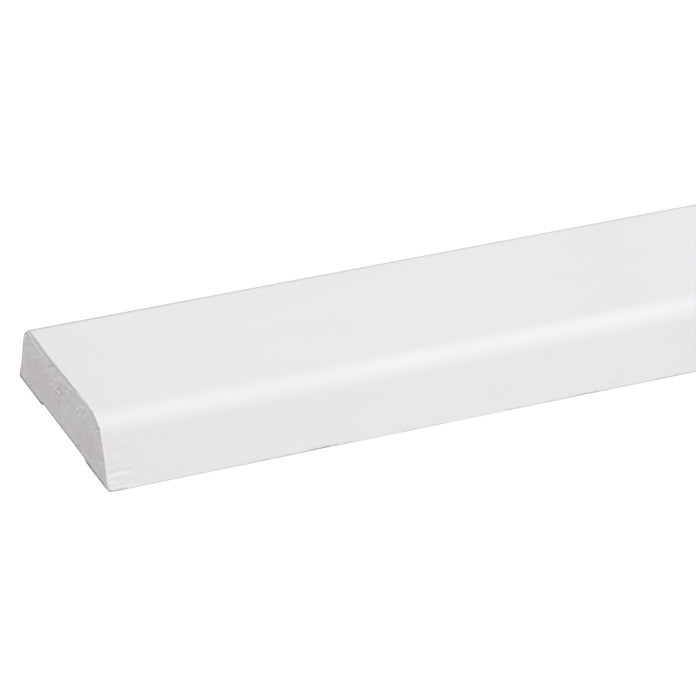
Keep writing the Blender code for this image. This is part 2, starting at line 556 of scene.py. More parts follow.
def marks_of(section, seed):
    """Tone, crumbs and torn fibres of an end, each from -1 to 1."""
    if seed == RIGHT_SEED:
        return far_end_marks(section)
    crumbs = spots(section, CRUMBS) - spots(section, HOLES)
    return marks(section, RIDGES + GROOVES), crumbs, np.clip(marks(section, TORN_PATCHES), 0.0, 1.0)


print(len(RIDGES), "ridges,", len(GROOVES), "grooves,", len(CRUMBS), "crumbs,", len(HOLES), "holes")

# %% [markdown]
# ## Relief and tone of an end
# The marks come together twice: once as depth, for the mesh, and once as tone, for the paint. Both
# use the same helpers, so a ridge that stands up is also pale and a groove dark: partly thick and
# thin paint, partly painted highlight and painted shade.
#
# The rim has its own look. Along the feet the paint stops short, and a dark line half a millimetre
# high runs at the rim, or more at three corners where fibres broke off: painted contact shadow
# under the feet, over some bare wood. The line goes on up the rear side and fades, there as painted
# shade. A narrow hollow runs between the upper edge and its ridge, painted darker as painted shade.
# So thin a line would look ragged if the mesh's points carried its tone. They carry their distance
# to the rim instead, counted in widths of the line: it changes evenly, and the paint draws the line
# where it is below 1.

# %% Relief and tone of an end
UPPER_PART = (11.0 * MM, 13.5 * MM)
RIM_HOLLOW = 0.55 * MM
HOLLOW_WIDTH = 0.35 * MM
HOLLOW_DEPTH = 0.07 * MM
END_LINE = 0.50 * MM
MARK_HEIGHT = 0.12 * MM
CRUMB_HEIGHT = 0.10 * MM
PLAIN_ROUGHNESS = 0.02 * MM
TORN_ROUGHNESS = 0.08 * MM
RING_HEIGHT = 0.03 * MM
RAY_HEIGHT = 0.02 * MM
LEAST_DEPTH = 0.01 * MM
RING_TONE = 0.05
MEAN_LATE_WOOD = 0.3
RAY_TONE = 0.06
HOLLOW_SHADE = 0.07
CLOUD_TONE = 0.03
FOOT_SHADE = 0.035
FOOT_SHADE_FADE = (2.0 * MM, 10.0 * MM)


def rim_distance(section):
    """Distance from each place to the outline of the section."""
    return line_distance(section, np.vstack([ring[::2], ring[:1]]))


def rim_hollow(section, seed):
    """1 in the narrow hollow under the upper edge, broken up by noise."""
    upper = ease(section[:, 1], *UPPER_PART)
    broken = 0.6 + 1.2 * wander(section, (1.3, 9), seed + 5)
    return upper * np.clip(broken, 0.0, 1.4) * bump(rim_distance(section) - RIM_HOLLOW, HOLLOW_WIDTH)


def end_depth(section, seed):
    """How far the end's surface lies inside the square end."""
    tone, crumbs, torn = marks_of(section, seed)
    rough = wander(section, (0.55, 0.55), seed + 7)
    depth = saw_cut(section, seed) - MARK_HEIGHT * tone - CRUMB_HEIGHT * crumbs
    depth += HOLLOW_DEPTH * rim_hollow(section, seed)
    depth -= (PLAIN_ROUGHNESS + TORN_ROUGHNESS * torn) * rough
    depth -= RING_HEIGHT * late_wood(section, seed) + RAY_HEIGHT * ray_flecks(section, seed)
    return np.maximum(depth, LEAST_DEPTH)


def end_tone(section, seed):
    """Tone of the paint on an end: above 0 paler than its surroundings, below 0 darker."""
    # The hollow under the upper edge is painted darker: painted shade.
    tone = marks_of(section, seed)[0] - HOLLOW_SHADE * rim_hollow(section, seed)
    tone += RING_TONE * (late_wood(section, seed) - MEAN_LATE_WOOD)
    tone += RAY_TONE * ray_flecks(section, seed)
    tone += CLOUD_TONE * wander(section, (3.0, 2.0), seed + 8)
    # Darker towards the feet: painted shade.
    return tone - FOOT_SHADE * (1.0 - ease(section[:, 1], *FOOT_SHADE_FADE))


WARM_PATCHES = [
    (23.5, 5.6, 17, 6.6, 12, 8, 1.9, 0.9), (18, 3, 8, 5.5, 2, 0.5), (11.5, 9.8, 0, 9.6, 1.5, 0.8),
    (-10, 4.5, -15, 6.2, 1.5, 0.8), (-16.5, 3.2, -20.5, 6.5, 2.3, 0.9), (-20, 9, -23.5, 9, 1, 0.7),
    (8.5, 6, 1.5, 7.8, 1.7, 0.6),
]
FAR_WARMTH = 0.3
THIN_FROM_RIM = (0.6 * MM, 2.5 * MM)


def end_warmth(section, seed):
    """Where the wood shines through: in the thin paint of the middle, not near the rim."""
    if seed == LEFT_SEED:
        patches = marks(section, WARM_PATCHES)
    else:
        patches = FAR_WARMTH + wander(section, (9, 6), seed + 9)
    return np.clip(patches, 0.0, 1.0) * ease(rim_distance(section), *THIN_FROM_RIM)


# The dark line at the end's rim: painted contact shadow along the feet and painted shade up the rear side,
# with some dirt.
LOW_PART = (0.9 * MM, 1.6 * MM)
REAR_EDGE = (WIDTH / 2 - 1.0 * MM, WIDTH / 2 - 0.4 * MM)
RELIEF_SHADE_AND_DIRT = 0.65
UPPER_SHADE_AND_DIRT = 0.05
REAR_TOP_SHADE_AND_DIRT = 0.40
REAR_FADE = 2.2 * MM
FRONT_LINE_FADE = 0.35
FRONT_LINE_FADE_REACH = 1.5 * MM
DARK_LINE_CORNERS = [(28.4, 0.7, 0.4, 1.5), (14.3, 0.3, 0.4, 0.7), (-16.2, 0.3, 0.4, 1.2)]


def end_rim_shade_and_dirt(section):
    """How dark the line at the rim is: painted contact shadow over some bare wood, most on the feet, less
    in the relief, and painted shade up the rear side.
    """
    across, up = section.T
    foot = (across < -WIDTH / 2 + FRONT_FOOT + FRONT_STEP / 2) | (across > WIDTH / 2 - REAR_FOOT)
    low = 1.0 - ease(up, *LOW_PART)
    # Less of the painted shade and dirt towards the front corner.
    worn = FRONT_LINE_FADE * bump(across + WIDTH / 2, FRONT_LINE_FADE_REACH)
    rear_side = ease(across + up * math.tan(REAR_LEAN), *REAR_EDGE)
    rear = rear_side * (REAR_TOP_SHADE_AND_DIRT + (1.0 - REAR_TOP_SHADE_AND_DIRT) * bump(up, REAR_FADE))
    upper = UPPER_SHADE_AND_DIRT + (1.0 - UPPER_SHADE_AND_DIRT) * rear
    return (np.where(foot, 1.0, RELIEF_SHADE_AND_DIRT) - worn) * low + upper * (1.0 - low)


def end_line(section):
    """Height of the dark line at the rim: more at the corners of the feet, where fibres broke off."""
    return END_LINE + blobs(section, DARK_LINE_CORNERS)


print(f"bare line at the rim: {END_LINE / MM:.2f} to {end_line(ring).max() / MM:.2f} mm")

# %% [markdown]
# ## Marks on the long sides
# Near the cut the front side has a few runs of thick paint, a nick and some handling marks. Their
# pale and dark tones are partly the paint's own and partly painted highlight and painted shade. The
# bottom arris has lost small bites of paint and carries a thin dark line, part dirt and part painted
# shade, dark in some stretches and missing in others. The lists are again in millimetres, from the
# left end: along and up for the marks, (along, strength) for the dark line and (along, reach,
# strength) for the bites. All relief goes inwards. The rear side is a shade darker from its rounding
# on: painted shade, where it turns away from the light. The face is a little darker in two places.

# %% Marks on the long sides
# The pale and dark tones of these marks are partly paint and partly painted highlight and painted shade.
FRONT_MARKS = [
    (0.1, 4.1, 0.8, 3.9, 2.2, 4.1, 4.2, 4.2, 5.8, 4.2, 0.26, -0.12),
    (0.2, 3.5, 1.2, 3.3, 2.2, 3.4, 0.34, 0.5), (2.4, 3.5, 3.1, 3.7, 4.7, 3.5, 0.2, 0.7),
    (4.9, 3.3, 6, 3.1, 0.35, 0.16), (2.6, 3.1, 4.4, 3, 0.25, 0.06),
    (0.2, 2.7, 1.1, 2.6, 2, 2.9, 0.26, -0.12), (3, 2.6, 5.4, 2.5, 0.5, -0.04),
    (0.3, 2.1, 1.8, 2, 0.3, 0.46), (0.4, 1.4, 1.2, 1.4, 0.26, -0.07), (0.5, 7.5, 0.7, 7.4, 0.26, 0.7),
    (0.5, 7, 0.9, 6.9, 0.22, -0.06), (0.4, 5.3, 0.4, 5, 0.25, 0.55), (0.9, 11.7, 1.6, 11.7, 0.24, -0.09),
    (0.4, 10.7, 0.5, 10.4, 0.25, 0.4), (0.4, 9.1, 0.4, 8.9, 0.22, 0.5), (0.5, 12.3, 0.6, 12.9, 0.25, 0.4),
    (0.4, 5.9, 2.8, 5.7, 0.4, -0.05), (1.4, 8.6, 5.5, 8.2, 0.55, -0.03), (3, 1.4, 3.6, 1.4, 0.3, -0.05),
    (0.9, 0.8, 2.8, 0.8, 0.2, 0.6), (4, 0.8, 5.4, 0.8, 0.2, 0.5), (6, 0.7, 7, 0.7, 0.2, 0.6),
    (8.8, 0.7, 10.5, 0.7, 0.2, 0.55), (9.2, 2.6, 10, 2.5, 0.35, -0.07), (9.2, 2, 10.2, 2, 0.25, 0.2),
    (10.9, 11.4, 11.5, 11.3, 0.28, -0.06), (10.8, 12.1, 12.2, 12, 0.25, 0.12),
    (14.3, 0.8, 15.2, 0.8, 0.18, -0.08), (17.2, 1.1, 19.3, 0.8, 0.24, 0.22),
    (67.6, 1, 68.8, 1, 0.45, -0.05), (76, 1.3, 77.2, 1.3, 0.5, -0.06), (119.2, 1.3, 120.8, 1.3, 0.5, -0.06),
]
# Painted highlights: white spots on the face along the near end's upper edge.
EDGE_HIGHLIGHTS = [(8.8, 0.7), (7, 0.6), (-5.4, 1), (-7.6, 1), (-17.8, 0.8), (-21, 0.6)]
# The dark line along the front bottom arris: part dirt, part painted shade under the arris.
FRONT_SHADE_AND_DIRT = np.array([
    (0, 0.62), (2, 0.52), (4, 0.36), (6, 0.1), (9, 0.05), (11, 0.14), (22, 0.1), (30, 0.16),
    (34, 0.28), (45, 0.3), (46.6, 0.32), (47.2, 0.78), (52, 0.76), (53, 0.04), (54.2, 0.4),
    (56.2, 0.34), (57, 0), (67.5, 0.02), (68.2, 0.26), (71, 0.24), (72, 0), (74, 0.06),
    (77, 0.24), (78, 0), (86.6, 0.02), (88.5, 0.1), (90, 0), (93, 0.03), (93.8, 0.36),
    (96.4, 0.36), (97.4, 0.04), (101.6, 0.13), (102.4, 0.34), (104, 0.32), (105, 0.14),
    (109, 0.24), (111, 0.42), (113, 0.56), (115, 0.46), (116.2, 0.22), (120, 0.28), (122, 0.2),
    (127, 0.22), (132, 0.32), (138, 0.33), (175, 0.27),
])
FRONT_BITES = [(0.6, 0.9, 0.9), (50, 2.8, 0.8), (55.2, 0.8, 0.5), (95.2, 1.2, 0.5),
               (112, 2.6, 0.6), (120.3, 0.8, 0.5), (158, 1.6, 0.7)]
REAR_BITES = [(31, 2, 0.7), (88, 1.2, 0.5), (140, 2.4, 0.8)]
FRONT_WIDTH = 7.0 * MM
ARRIS_WIDTH = 1.5 * MM
SIDE_LINE = 0.36 * MM
DARK_LINE_WIDENING = 0.6
BITE_DEPTH = 0.16 * MM
BITE_HEIGHT = 0.50 * MM
BITE_DARKNESS = 0.7
NEAR_END_REACH = 55.0 * MM
FACE_REACH = 0.35
FACE_TINT = 0.80
REAR_LESS_TINT = 0.6
FILM = 0.006 * MM
GROOVE_DEPTH = 0.35 * MM
EDGE_HIGHLIGHT_PLACE = 0.55 * MM
EDGE_HIGHLIGHT_REACH = 0.35 * MM
FACE_HEIGHT = 11.0 * MM
REAR_PART = (12.0 * MM, 20.0 * MM)
REAR_FACING = (0.04, 0.24)
SIDE_FACING = (0.50, 0.90)
FACE_FACING = (0.95, 1.0)
# Painted shade: the rear rounding and rear side are painted darker, most near the cut.
REAR_SHADE = 0.22
MORE_SHADE_AT_CUT = 0.13
CUT_REACH = 45.0 * MM
CUT_EDGE_HIGHLIGHT = 0.12
CUT_EDGE_HIGHLIGHT_REACH = (0.3 * MM, 0.8 * MM)
DARK_PATCH_TONE = 0.020
DARK_PATCH_PLACE = 131.0 * MM
DARK_PATCH_REACH = 14.0 * MM
DARK_PATCH_SLANT = 0.35
CORNER_DARK_TONE = 0.014
CORNER_DARK_REACH = 8.0 * MM


def from_left(places):
    """The distance of each (x, across, up) place from the left end."""
    return places[:, 0] + LENGTH / 2


def from_end(places):
    """The distance of each place from the nearer end."""
    return LENGTH / 2 - np.abs(places[:, 0])


def front_marks(places):
    """Tone of the marks at each place of the front side."""
    seen = np.column_stack([from_left(places), places[:, 2]])
    front = places[:, 1] < -WIDTH / 2 + FRONT_WIDTH
    return marks(seen, FRONT_MARKS) * front


def bites(places):
    """How much of the bottom arris is bitten off at each place, 0 to 1."""
    low = 1.0 - ease(places[:, 2], 0.0, BITE_HEIGHT)
    bitten = np.zeros(len(places))
    for side, bite_list in ((-1.0, FRONT_BITES), (1.0, REAR_BITES)):
        outer = side * places[:, 1] > WIDTH / 2 - ARRIS_WIDTH
        for place, reach, strength in bite_list:
            bitten += outer * strength * bump(from_left(places) - place * MM, reach * MM)
    return np.clip(bitten * low, 0.0, 1.0)


def skin_depth(places):
    """How far the painted skin lies inside the true section."""
    film = FILM * (1.0 + wander(places, (35, 6, 6), 4))
    grooves = GROOVE_DEPTH * np.maximum(-front_marks(places), 0.0)
    return film + grooves + BITE_DEPTH * bites(places)


def rear_painted_shade(places, out):
    """Painted shade at the rear, where the surface turns away from the light: most on the rounding and near
    the cut, less on the side.
    """
    most = REAR_SHADE + MORE_SHADE_AT_CUT * bump(from_left(places), CUT_REACH)
    return most * ease(out[:, 0], *REAR_FACING) * (1.0 - 0.5 * ease(out[:, 0], *SIDE_FACING))


def skin_tone(places, out):
    """Tone of the long sides: a painted highlight along the cuts, painted shade at the rear, and a little
    darker in two places on the face.
    """
    # Painted highlight on the long sides, right next to each cut end.
    edge = CUT_EDGE_HIGHLIGHT * (1.0 - ease(from_end(places), *CUT_EDGE_HIGHLIGHT_REACH))
    # Two places on the face are painted a little darker.
    off_dark_patch = from_left(places) - DARK_PATCH_PLACE - DARK_PATCH_SLANT * places[:, 1]
    rear_corner = bump(from_left(places), CORNER_DARK_REACH) * ease(places[:, 1], *REAR_PART)
    darker_patches = DARK_PATCH_TONE * bump(off_dark_patch, DARK_PATCH_REACH) + CORNER_DARK_TONE * rear_corner
    darker_patches *= ease(out[:, 1], *FACE_FACING)
    return front_marks(places) + edge - rear_painted_shade(places, out) - darker_patches


def edge_highlights(places):
    """1 on the painted highlights on the face, close to the near end's upper edge, where that edge catches
    the light.
    """
    highlights = np.zeros(len(places))
    for across, reach in EDGE_HIGHLIGHTS:
        highlights += bump(places[:, 1] - across * MM, reach * MM)
    return highlights * bump(from_left(places) - EDGE_HIGHLIGHT_PLACE, EDGE_HIGHLIGHT_REACH) * (places[:, 2] > FACE_HEIGHT)


def skin_warmth(places, out):
    """A pinker, slightly darker white near both ends, most of all on the front side."""
    upright = np.abs(out[:, 0])
    far = (FACE_REACH + (1.0 - FACE_REACH) * upright) * NEAR_END_REACH
    most = FACE_TINT + (1.0 - FACE_TINT) * upright
    most -= REAR_LESS_TINT * ease(places[:, 1], *REAR_PART)
    return most * (1.0 - ease(from_end(places) / far, 0.15, 1.0))


def skin_rim_shade_and_dirt(places):
    """A dark line along the bottom arrises, part dirt and part painted shade under the arris: as listed in
    front, and from noise at the rear.
    """
    dashes = 1.0 + 0.5 * wander(places, (1.6, 9, 9), 30)
    front = np.interp(from_left(places) / MM, *FRONT_SHADE_AND_DIRT.T)
    rear = 0.15 + 0.35 * ease(wander(places, (14, 9, 9), 31), 0.0, 0.5)
    return np.where(places[:, 1] < 0.0, front, rear) * dashes


print(len(FRONT_MARKS), "marks in front,", len(FRONT_BITES) + len(REAR_BITES), "bites")

# %% [markdown]
# ## Rings along the strip
# The long surface is a stack of rings. Near the ends they stand close together, because there is
# most to see there. Further in, every second point of the ring is enough, and the rings stand a
# little over a millimetre apart. At each end the edge is softened by a few rings on a quarter turn.
# Its radius isn't even: a worn stretch is rounder, and the front foot's corner most of all.

# %% Rings
EDGE_STEPS = 5
EDGE_RADIUS = 0.11 * MM
EDGE_WANDER = 0.05 * MM
FIRST_GAP = 0.22 * MM
GAP_GROWTH = 1.12
DETAIL_REACH = 9.0 * MM
MIDDLE_GAP = 1.25 * MM
END_REACH = 6.0 * MM
WORN_EDGES = [(-29, 0.3, 0.42, 1.6), (-28.2, 2.2, 0.2, 1.3), (-13.5, 15, 0.34, 3),
              (-6.4, 15, 0.12, 1.5), (7.5, 15, 0.12, 1.5), (24, 14.5, 0.2, 2),
              (28.5, 0.5, 0.2, 1.6)]


def edge_radius(seed):
    """Radius of the softened edge at each point of the ring."""
    uneven = EDGE_WANDER * wander(ring, (1.5, 1.5), seed + 20)
    mirror = 1.0 if seed == LEFT_SEED else -1.0
    return EDGE_RADIUS + uneven + blobs(ring * (mirror, 1.0), WORN_EDGES)


def end_rings(seed):
    """Rings of the soft edge and the detailed stretch, as distances from the square end."""
    radius = edge_radius(seed)
    start = end_depth(ring - ring_out * radius[:, None], seed)
    rings = []
    for angle in np.linspace(math.pi / 2, 0.0, EDGE_STEPS + 1)[:-1]:
        sunk = radius * (1.0 - math.cos(angle))
        along = start + radius * (1.0 - math.sin(angle))
        rings.append(np.column_stack([along, ring - ring_out * sunk[:, None]]))
    place = 0.0
    gap = FIRST_GAP
    while place < DETAIL_REACH:
        hold = max(0.0, 1.0 - place / END_REACH)
        rings.append(np.column_stack([place + (start + radius) * hold, ring]))
        place += gap
        gap *= GAP_GROWTH
    return rings


def to_x(rows, side):
    """Turns distances from the left end (side -1) or the right end (side 1) into X."""
    return rows * (-side, 1.0, 1.0) + (side * LENGTH / 2, 0.0, 0.0)


def middle_rings(left, right):
    """Rings with half the points, between the two detailed stretches."""
    count = int((right - left) / MIDDLE_GAP)
    places = np.linspace(left, right, count + 1)[1:-1]
    half = ring[::2]
    return [np.column_stack([np.full(len(half), x), half]) for x in places]


def sink_skin(row):
    """The row with its points sunk to the painted skin."""
    out = ring_out[::len(ring) // len(row)]
    depth = skin_depth(row)[:, None]
    return row - np.column_stack([np.zeros(len(row)), out * depth])


left_rings = [to_x(row, -1) for row in end_rings(LEFT_SEED)]
right_rings = [to_x(row, 1) for row in end_rings(RIGHT_SEED)][::-1]
middle = middle_rings(left_rings[-1][0, 0], right_rings[0][0, 0])
rings = [sink_skin(row) for row in left_rings + middle + right_rings]
print(f"{len(left_rings)} fine rings at each end and {len(middle)} plain ones between")

# %% [markdown]
# ## Fill the ends
# Each end is filled with a grid that is stretched between its four sides, and then sunk to the
# relief worked out above. A fan of triangles round one point would be easier to make, but its
# long thin triangles couldn't carry any relief.

# %% End grids
def four_sides(edge):
    """A closed ring's back and face, both from front to rear, and its two sides, from below."""
    loop = np.concatenate([edge, edge[:1]])
    back = loop[:ACROSS + 1]
    rear = loop[ACROSS:ACROSS + UP + 1]
    face = loop[ACROSS + UP:2 * ACROSS + UP + 1][::-1]
    front = loop[2 * ACROSS + UP:][::-1]
    return back, face, front, rear


def fill_end(edge):
    """Places inside a closed ring, in rows from back to face, worked out from its four sides."""
    back, face, front, rear = four_sides(edge)
    u = np.linspace(0.0, 1.0, ACROSS + 1)[None, :, None]
    v = np.linspace(0.0, 1.0, UP + 1)[:, None, None]
    between_rows = (1 - v) * back[None] + v * face[None]
    between_columns = (1 - u) * front[:, None] + u * rear[:, None]
    corners = ((1 - u) * (1 - v) * back[0] + u * (1 - v) * back[-1]
               + (1 - u) * v * face[0] + u * v * face[-1])
    return between_rows + between_columns - corners


def end_inside(edge, seed):
    """The (distance, across, up) places inside one end, sunk to its relief."""
    inside = fill_end(edge[:, 1:])[1:-1, 1:-1].reshape(-1, 2)
    return np.column_stack([end_depth(inside, seed), inside])


def grid_numbers(first_of_ring, first_inside):
    """Vertex numbers of an end's grid: its border is a ring, its inside is numbered in rows."""
    numbers = np.empty((UP + 1, ACROSS + 1), dtype=int)
    border = first_of_ring + np.arange(len(ring))
    numbers[0], numbers[-1], numbers[:, 0], numbers[:, -1] = four_sides(border)
    inside = np.arange((UP - 1) * (ACROSS - 1)).reshape(UP - 1, ACROSS - 1)
    numbers[1:-1, 1:-1] = first_inside + inside
    return numbers


left_inside = to_x(end_inside(rings[0], LEFT_SEED), -1)
right_inside = to_x(end_inside(rings[-1], RIGHT_SEED), 1)
print(f"{len(left_inside)} points inside each end")

# %% [markdown]
# ## Join it all into one closed mesh
# The strip is one piece of wood, so it becomes one mesh. Neighbouring rings of the same size are
# joined by quads. Where a fine ring meets a plain one, three triangles fill each gap. Each face
# remembers which finish it carries: face paint, painted end grain, or the thin paint of the back.

# %% One closed mesh
FACE_PAINT, END_PAINT, BACK_PAINT = 0, 1, 2


def quads_between(left, right):
    """One quad for each step round two rings with the same number of points."""
    return [list(face) for face in zip(left[:-1], left[1:], right[1:], right[:-1])]


def fan_between(fine, plain):
    """Three triangles for each step of the plainer of two rings."""
    faces = []
    for step in range(len(plain) - 1):
        first, middle, last = fine[2 * step:2 * step + 3]
        here, ahead = plain[step:step + 2]
        faces += [[first, middle, here], [middle, ahead, here], [middle, last, ahead]]
    return faces


def long_faces(numbers):
    """Faces between all neighbouring rings, with their finishes."""
    faces = []
    finishes = []
    for left, right in zip(numbers[:-1], numbers[1:]):
        if len(left) == len(right):
            new = quads_between(left, right)
        elif len(left) > len(right):
            new = fan_between(left, right)
        else:
            new = [face[::-1] for face in fan_between(right, left)]
        on_back = len(new) * ACROSS // len(ring)
        faces += new
        finishes += [BACK_PAINT] * on_back + [FACE_PAINT] * (len(new) - on_back)
    return faces, finishes


def end_faces(numbers):
    """Quads of an end's grid, facing to the right."""
    return np.stack([numbers[:-1, :-1], numbers[:-1, 1:], numbers[1:, 1:], numbers[1:, :-1]],
                    axis=-1).reshape(-1, 4).tolist()


def strip_mesh():
    """The rings and both ends as one closed mesh, with its finishes."""
    starts = running_total([len(row) for row in rings])
    numbers = [list(range(start, start + len(row))) + [start] for start, row in zip(starts, rings)]
    faces, finishes = long_faces(numbers)
    left = end_faces(grid_numbers(0, starts[-1]))
    right = end_faces(grid_numbers(starts[-2], starts[-1] + len(left_inside)))
    faces += [face[::-1] for face in left] + right
    finishes += [END_PAINT] * (len(left) + len(right))
    mesh = bpy.data.meshes.new("painted_strip")
    mesh.from_pydata(np.vstack(rings + [left_inside, right_inside]).tolist(), [], faces)
    mesh.polygons.foreach_set("material_index", finishes)
    mesh.shade_smooth()
    return mesh


def measured(mesh):
    """Triangles, whether the mesh is closed, and its volume: above 0 only if faces point outwards."""
    bm = bmesh.new()
    bm.from_mesh(mesh)
    triangles = len(bm.calc_loop_triangles())
    closed = all(edge.is_manifold for edge in bm.edges)
    volume = bm.calc_volume(signed=True)
    bm.free()
    return triangles, closed, volume


mesh = strip_mesh()
triangles, closed, volume = measured(mesh)
print(f"{triangles} triangles round {volume / MM**3 / 1000:.1f} cubic centimetres, closed: {closed}")

# %% [markdown]
# ## Hand the tones to the paint
# A material can't know where a ridge or a bite is, so each point of the mesh carries six numbers.
# They come from the helpers that shaped the mesh: the tone, the crumbs, the torn fibres, the
# warmth, the distance to the rim in widths of its line, and how dark that rim line is, painted shade
# with some dirt. The tone and the crumbs also carry painted highlights and painted shade. On the long
# sides the rim is the bottom arris.

# %% Tones on the mesh
def end_look(section, seed):
    """The six numbers for places on an end."""
    crumbs, torn = marks_of(section, seed)[1:]
    return {
        "tone": end_tone(section, seed), "crumbs": crumbs, "torn": torn,
        "warmth": end_warmth(section, seed), "rim": rim_distance(section) / end_line(section),
        "rim_shade_and_dirt": end_rim_shade_and_dirt(section),
    }


def skin_look(places, out):
    """The six numbers for places on the long sides."""
    # The rim numbers draw the dark line along the bottom arris: part dirt, part painted shade.
    line_darkness = skin_rim_shade_and_dirt(places)
    return {
        "tone": skin_tone(places, out),
        # On the long sides the crumbs carry the painted edge highlights and the dark of the bites.
        "crumbs": edge_highlights(places) - BITE_DARKNESS * bites(places),
        "torn": np.zeros(len(places)), "warmth": skin_warmth(places, out),
        "rim": places[:, 2] / (SIDE_LINE * (1.0 + DARK_LINE_WIDENING * line_darkness)), "rim_shade_and_dirt": line_darkness,
    }


def store_looks():
    """Gives every point of the mesh its six numbers. The outermost rings belong to the ends."""
    skin = rings[1:-1]
    out = np.vstack([ring_out[::len(ring) // len(row)] for row in skin])
    looks = [
        end_look(rings[0][:, 1:], LEFT_SEED), skin_look(np.vstack(skin), out),
        end_look(rings[-1][:, 1:], RIGHT_SEED), end_look(left_inside[:, 1:], LEFT_SEED),
        end_look(right_inside[:, 1:], RIGHT_SEED),
    ]
    for name in looks[0]:
        values = np.concatenate([look[name] for look in looks])
        layer = mesh.attributes.new(name, "FLOAT", "POINT")
        layer.data.foreach_set("value", values)
        print(f"{name}: {values.min():.2f} to {values.max():.2f}")


store_looks()

# %% [markdown]
# ## Small helpers for materials
# The three finishes use the same few steps: noise of some size, a range of it picked out, two
# colours mixed by it, and the numbers that the mesh carries.

# %% Material helpers
def stretched_noise(tree, sizes, detail=2.0):
    """Noise whose bumps have the given sizes along X, Y and Z, in millimetres."""
    where = add_node(tree, "ShaderNodeTexCoord").outputs["Object"]
    scale = tuple(1.0 / (size * MM) for size in sizes)
    moved = add_node(tree, "ShaderNodeMapping", Vector=where, Scale=scale).outputs["Vector"]
    return add_node(tree, "ShaderNodeTexNoise", Vector=moved, Scale=1.0, Detail=detail).outputs["Fac"]


def between(tree, amount, low, high, start=0.3, end=0.7):
    """Stretches the range from start to end to the range from low to high."""
    node = add_node(tree, "ShaderNodeMapRange", Value=amount, From_Min=start, From_Max=end,
                    To_Min=low, To_Max=high)
    return node.outputs["Result"]


def combined(tree, operation, first, second):
    """The sum, product or the like of two values."""
    node = tree.nodes.new("ShaderNodeMath")
    node.operation = operation
    feed(tree, node.inputs[0], first)
    feed(tree, node.inputs[1], second)
    return node.outputs["Value"]


def mixed(tree, amount, first, second):
    """The first colour where the amount is 0, the second where it is 1."""
    return add_node(tree, "ShaderNodeMixRGB", Fac=amount, Color1=first, Color2=second).outputs["Color"]


def stored(tree, name):
    """One of the numbers that the mesh carries."""
    node = tree.nodes.new("ShaderNodeAttribute")
    node.attribute_name = name
    return node.outputs["Fac"]


def bumps(tree, height, strength, distance, below=None):
    """Surface relief of a height, on top of another relief if there is one below."""
    node = add_node(tree, "ShaderNodeBump", Height=height, Strength=strength, Distance=distance)
    if below:
        feed(tree, node.inputs["Normal"], below)
    return node.outputs["Normal"]


def new_finish(name):
    """A material with its nodes."""
    finish = bpy.data.materials.new(name)
    finish.use_nodes = True
    return finish, finish.node_tree


def dress(tree, colour, roughness, relief):
    """Gives a material's shader its colour, roughness and surface relief."""
    fill(tree, tree.nodes["Principled BSDF"], Base_Color=colour, Roughness=roughness, Normal=relief)


print("noise, ranges, sums, mixtures and relief are ready to use")

# %% [markdown]
# ## Draw the marks over a colour
# The paint of the face and that of the ends show marks in the same way, so that part is written
# once. The pale colour stands for thick paint and also for painted highlights, the dark one for
# dirt and also for painted shade. The tone moves the colour gently. Crumbs and holes should have
# sharp, ragged outlines, so their soft bumps get some fine noise added and are then cut off
# steeply. Torn fibres are noise alone. Last comes the line along the rim, also with a ragged edge.

# %% Marks in the paint
# The pale and dark colours of the marks, also used for painted highlight and painted shade.
THICK_PAINT_AND_HIGHLIGHT = (0.93, 0.925, 0.925, 1.0)
DIRT_AND_SHADE = (0.15, 0.14, 0.135, 1.0)


def with_marks(tree, colour, fine):
    """The colour with the mesh's marks drawn over it, painted highlights and painted shade among them. Fine
    noise makes their edges ragged.
    """
    tone = stored(tree, "tone")
    colour = mixed(tree, between(tree, tone, 0.0, 1.0, 0.0, 1.0), colour, THICK_PAINT_AND_HIGHLIGHT)
    colour = mixed(tree, between(tree, tone, 0.0, 1.0, 0.0, -1.0), colour, DIRT_AND_SHADE)
    ragged = between(tree, fine, -0.25, 0.25)
    crumbs = combined(tree, "ADD", stored(tree, "crumbs"), ragged)
    colour = mixed(tree, between(tree, crumbs, 0.0, 0.85, 0.38, 0.62), colour, THICK_PAINT_AND_HIGHLIGHT)
    colour = mixed(tree, between(tree, crumbs, 0.0, 0.50, -0.45, -0.70), colour, DIRT_AND_SHADE)
    torn = stored(tree, "torn")
    bridged = combined(tree, "MULTIPLY", torn, between(tree, fine, 0.0, 0.80, 0.53, 0.60))
    open_fibres = combined(tree, "MULTIPLY", torn, between(tree, fine, 0.0, 0.36, 0.46, 0.40))
    colour = mixed(tree, bridged, colour, THICK_PAINT_AND_HIGHLIGHT)
    colour = mixed(tree, open_fibres, colour, DIRT_AND_SHADE)
    # The line along the rim: painted contact shadow and shade, with some dirt.
    rim = combined(tree, "ADD", stored(tree, "rim"), ragged)
    line = between(tree, rim, 1.0, 0.0, 0.7, 1.3)
    return mixed(tree, combined(tree, "MULTIPLY", line, stored(tree, "rim_shade_and_dirt")), colour, DIRT_AND_SHADE)


print("thick paint reflects", THICK_PAINT_AND_HIGHLIGHT[0], "of the light, and dirt", DIRT_AND_SHADE[0])

# %% [markdown]
# ## White paint on the face and sides
# The paint is a satin white, sprayed in the factory. It is almost even: cloudy by two parts in a
# hundred, with faint streaks along the grain of the wood below. It is a little duller in some
# places, and close up it has the soft pimples that painters call orange peel. All of that comes
# from noise of different sizes, so no picture is needed and it never repeats.

# %% Face paint
PAINT_WHITE = (0.800, 0.800, 0.800, 1.0)
PAINT_CLOUD = (0.782, 0.782, 0.782, 1.0)
# Pinker and a little darker near the ends.
NEAR_END_WHITE = (0.788, 0.762, 0.769, 1.0)


